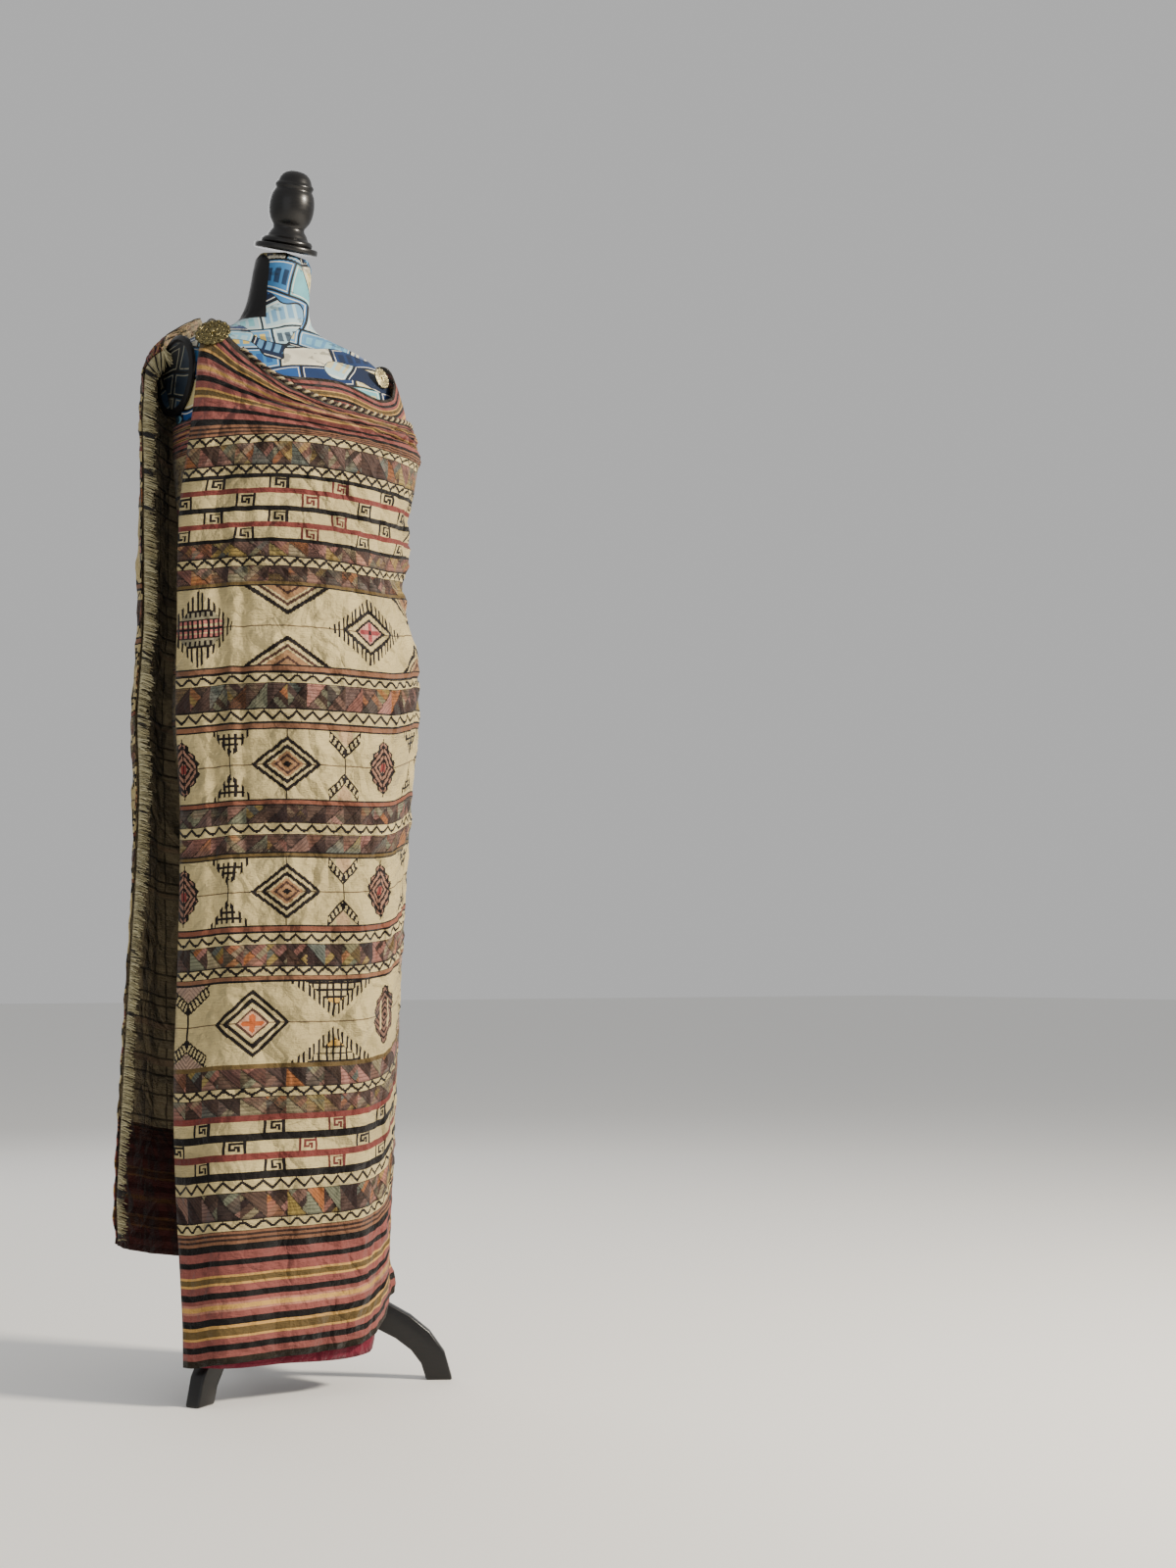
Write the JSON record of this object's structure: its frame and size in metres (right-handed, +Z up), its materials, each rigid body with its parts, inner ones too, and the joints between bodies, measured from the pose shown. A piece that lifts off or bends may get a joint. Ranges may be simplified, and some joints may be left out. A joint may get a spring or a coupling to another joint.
{
  "type": "kira on a dress form",
  "caption": "Woven kira wrapped and pinned at the shoulders with round brooches on a small dress form with a turned finial and curved wooden legs.",
  "frame": {"origin": "on the floor under the middle of the whole piece's box, seen from above; the pole stands 32 mm to +X and 37 mm to -Y of it", "axes": "+Z up, the wrapped front panel faces -Y, the free end with the fringe hangs on the -X side"},
  "size_m": [0.4567, 0.3737, 1.6846],
  "materials": {
    "cloth": "hand-woven cotton with raised weft patterns, matt",
    "warp_fringe": "cut warp ends, matt",
    "braid": "looped cord trim, matt",
    "gilt": "gilt with pierced and chased work, aged",
    "print": "printed cotton cover, matt",
    "black_wood": "turned and lacquered black, glossy"
  },
  "bodies": {
    "root": {"kira": "cloth", "fringe": "warp_fringe", "selvedge_braid": "braid", "brooch_shoulder": "gilt", "brooch_arm": "gilt", "torso": "print", "armhole_plate": "print", "neck_cap": "black_wood", "finial": "black_wood", "base_disc": "black_wood", "pole": "black_wood", "hub": "black_wood", "leg_1": "black_wood", "leg_2": "black_wood", "leg_3": "black_wood"}
  },
  "joints": []
}
